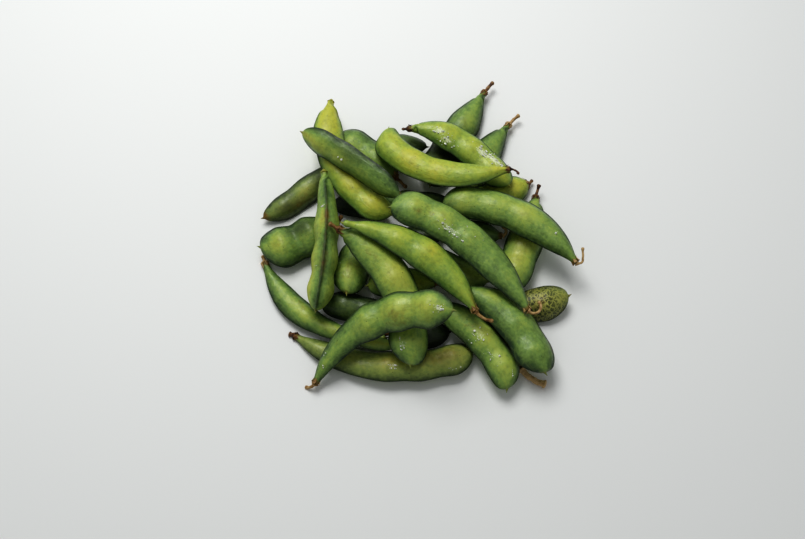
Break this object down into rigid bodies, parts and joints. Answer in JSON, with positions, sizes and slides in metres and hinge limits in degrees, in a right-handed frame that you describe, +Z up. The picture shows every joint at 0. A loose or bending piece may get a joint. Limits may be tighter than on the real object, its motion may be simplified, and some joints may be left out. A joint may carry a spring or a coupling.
{
  "type": "edamame pod bundle",
  "caption": "Loose heap of boiled green soybean pods lying crosswise on one another, each with a short stalk, a raised seam and swellings over its beans",
  "frame": {"origin": "on the surface that the heap lies on, under the middle of its footprint", "axes": "+Z up, +X to the right and +Y to the rear as the heap is looked at from the front"},
  "size_m": [0.1322, 0.1432, 0.0324],
  "materials": {
    "leaf_green": "skin of a boiled pod, wet and slightly glossy, leaf green",
    "yellow_green": "skin of a boiled pod, wet and slightly glossy, yellow green",
    "olive_green": "skin of a boiled pod, wet and slightly glossy, olive green",
    "dark_green": "skin of a boiled pod, wet and slightly glossy, dark green"
  },
  "bodies": {
    "root": {"pod_rear_right_inner": "leaf_green", "pod_rear_right_outer": "leaf_green", "pod_rear_left_flat": "leaf_green", "pod_left_dark": "dark_green", "pod_left_front": "leaf_green", "pod_left_round": "leaf_green", "pod_front_long": "olive_green", "pod_right_small": "olive_green", "pod_right_rear_under": "yellow_green", "pod_right_under": "leaf_green", "pod_front_right_under": "olive_green", "pod_core_low": "dark_green", "pod_core_left": "dark_green", "pod_core_front": "dark_green", "pod_core_middle": "dark_green", "pod_core_rear": "dark_green", "pod_core_dark": "dark_green", "pod_core_right": "dark_green", "pod_core_centre": "dark_green", "pod_core_small": "dark_green", "pod_core_back": "dark_green", "pod_core_corner": "dark_green", "pod_rear_left_yellow": "yellow_green", "pod_left_on_edge": "olive_green", "pod_centre_left": "leaf_green", "pod_front_right_inner": "leaf_green", "pod_front_right_outer": "leaf_green", "pod_rear_salted": "yellow_green", "pod_left_crossing": "leaf_green", "pod_centre": "yellow_green", "pod_right_top": "leaf_green", "pod_top_centre": "leaf_green", "pod_front_top": "leaf_green", "pod_top_rear": "yellow_green"}
  },
  "joints": []
}
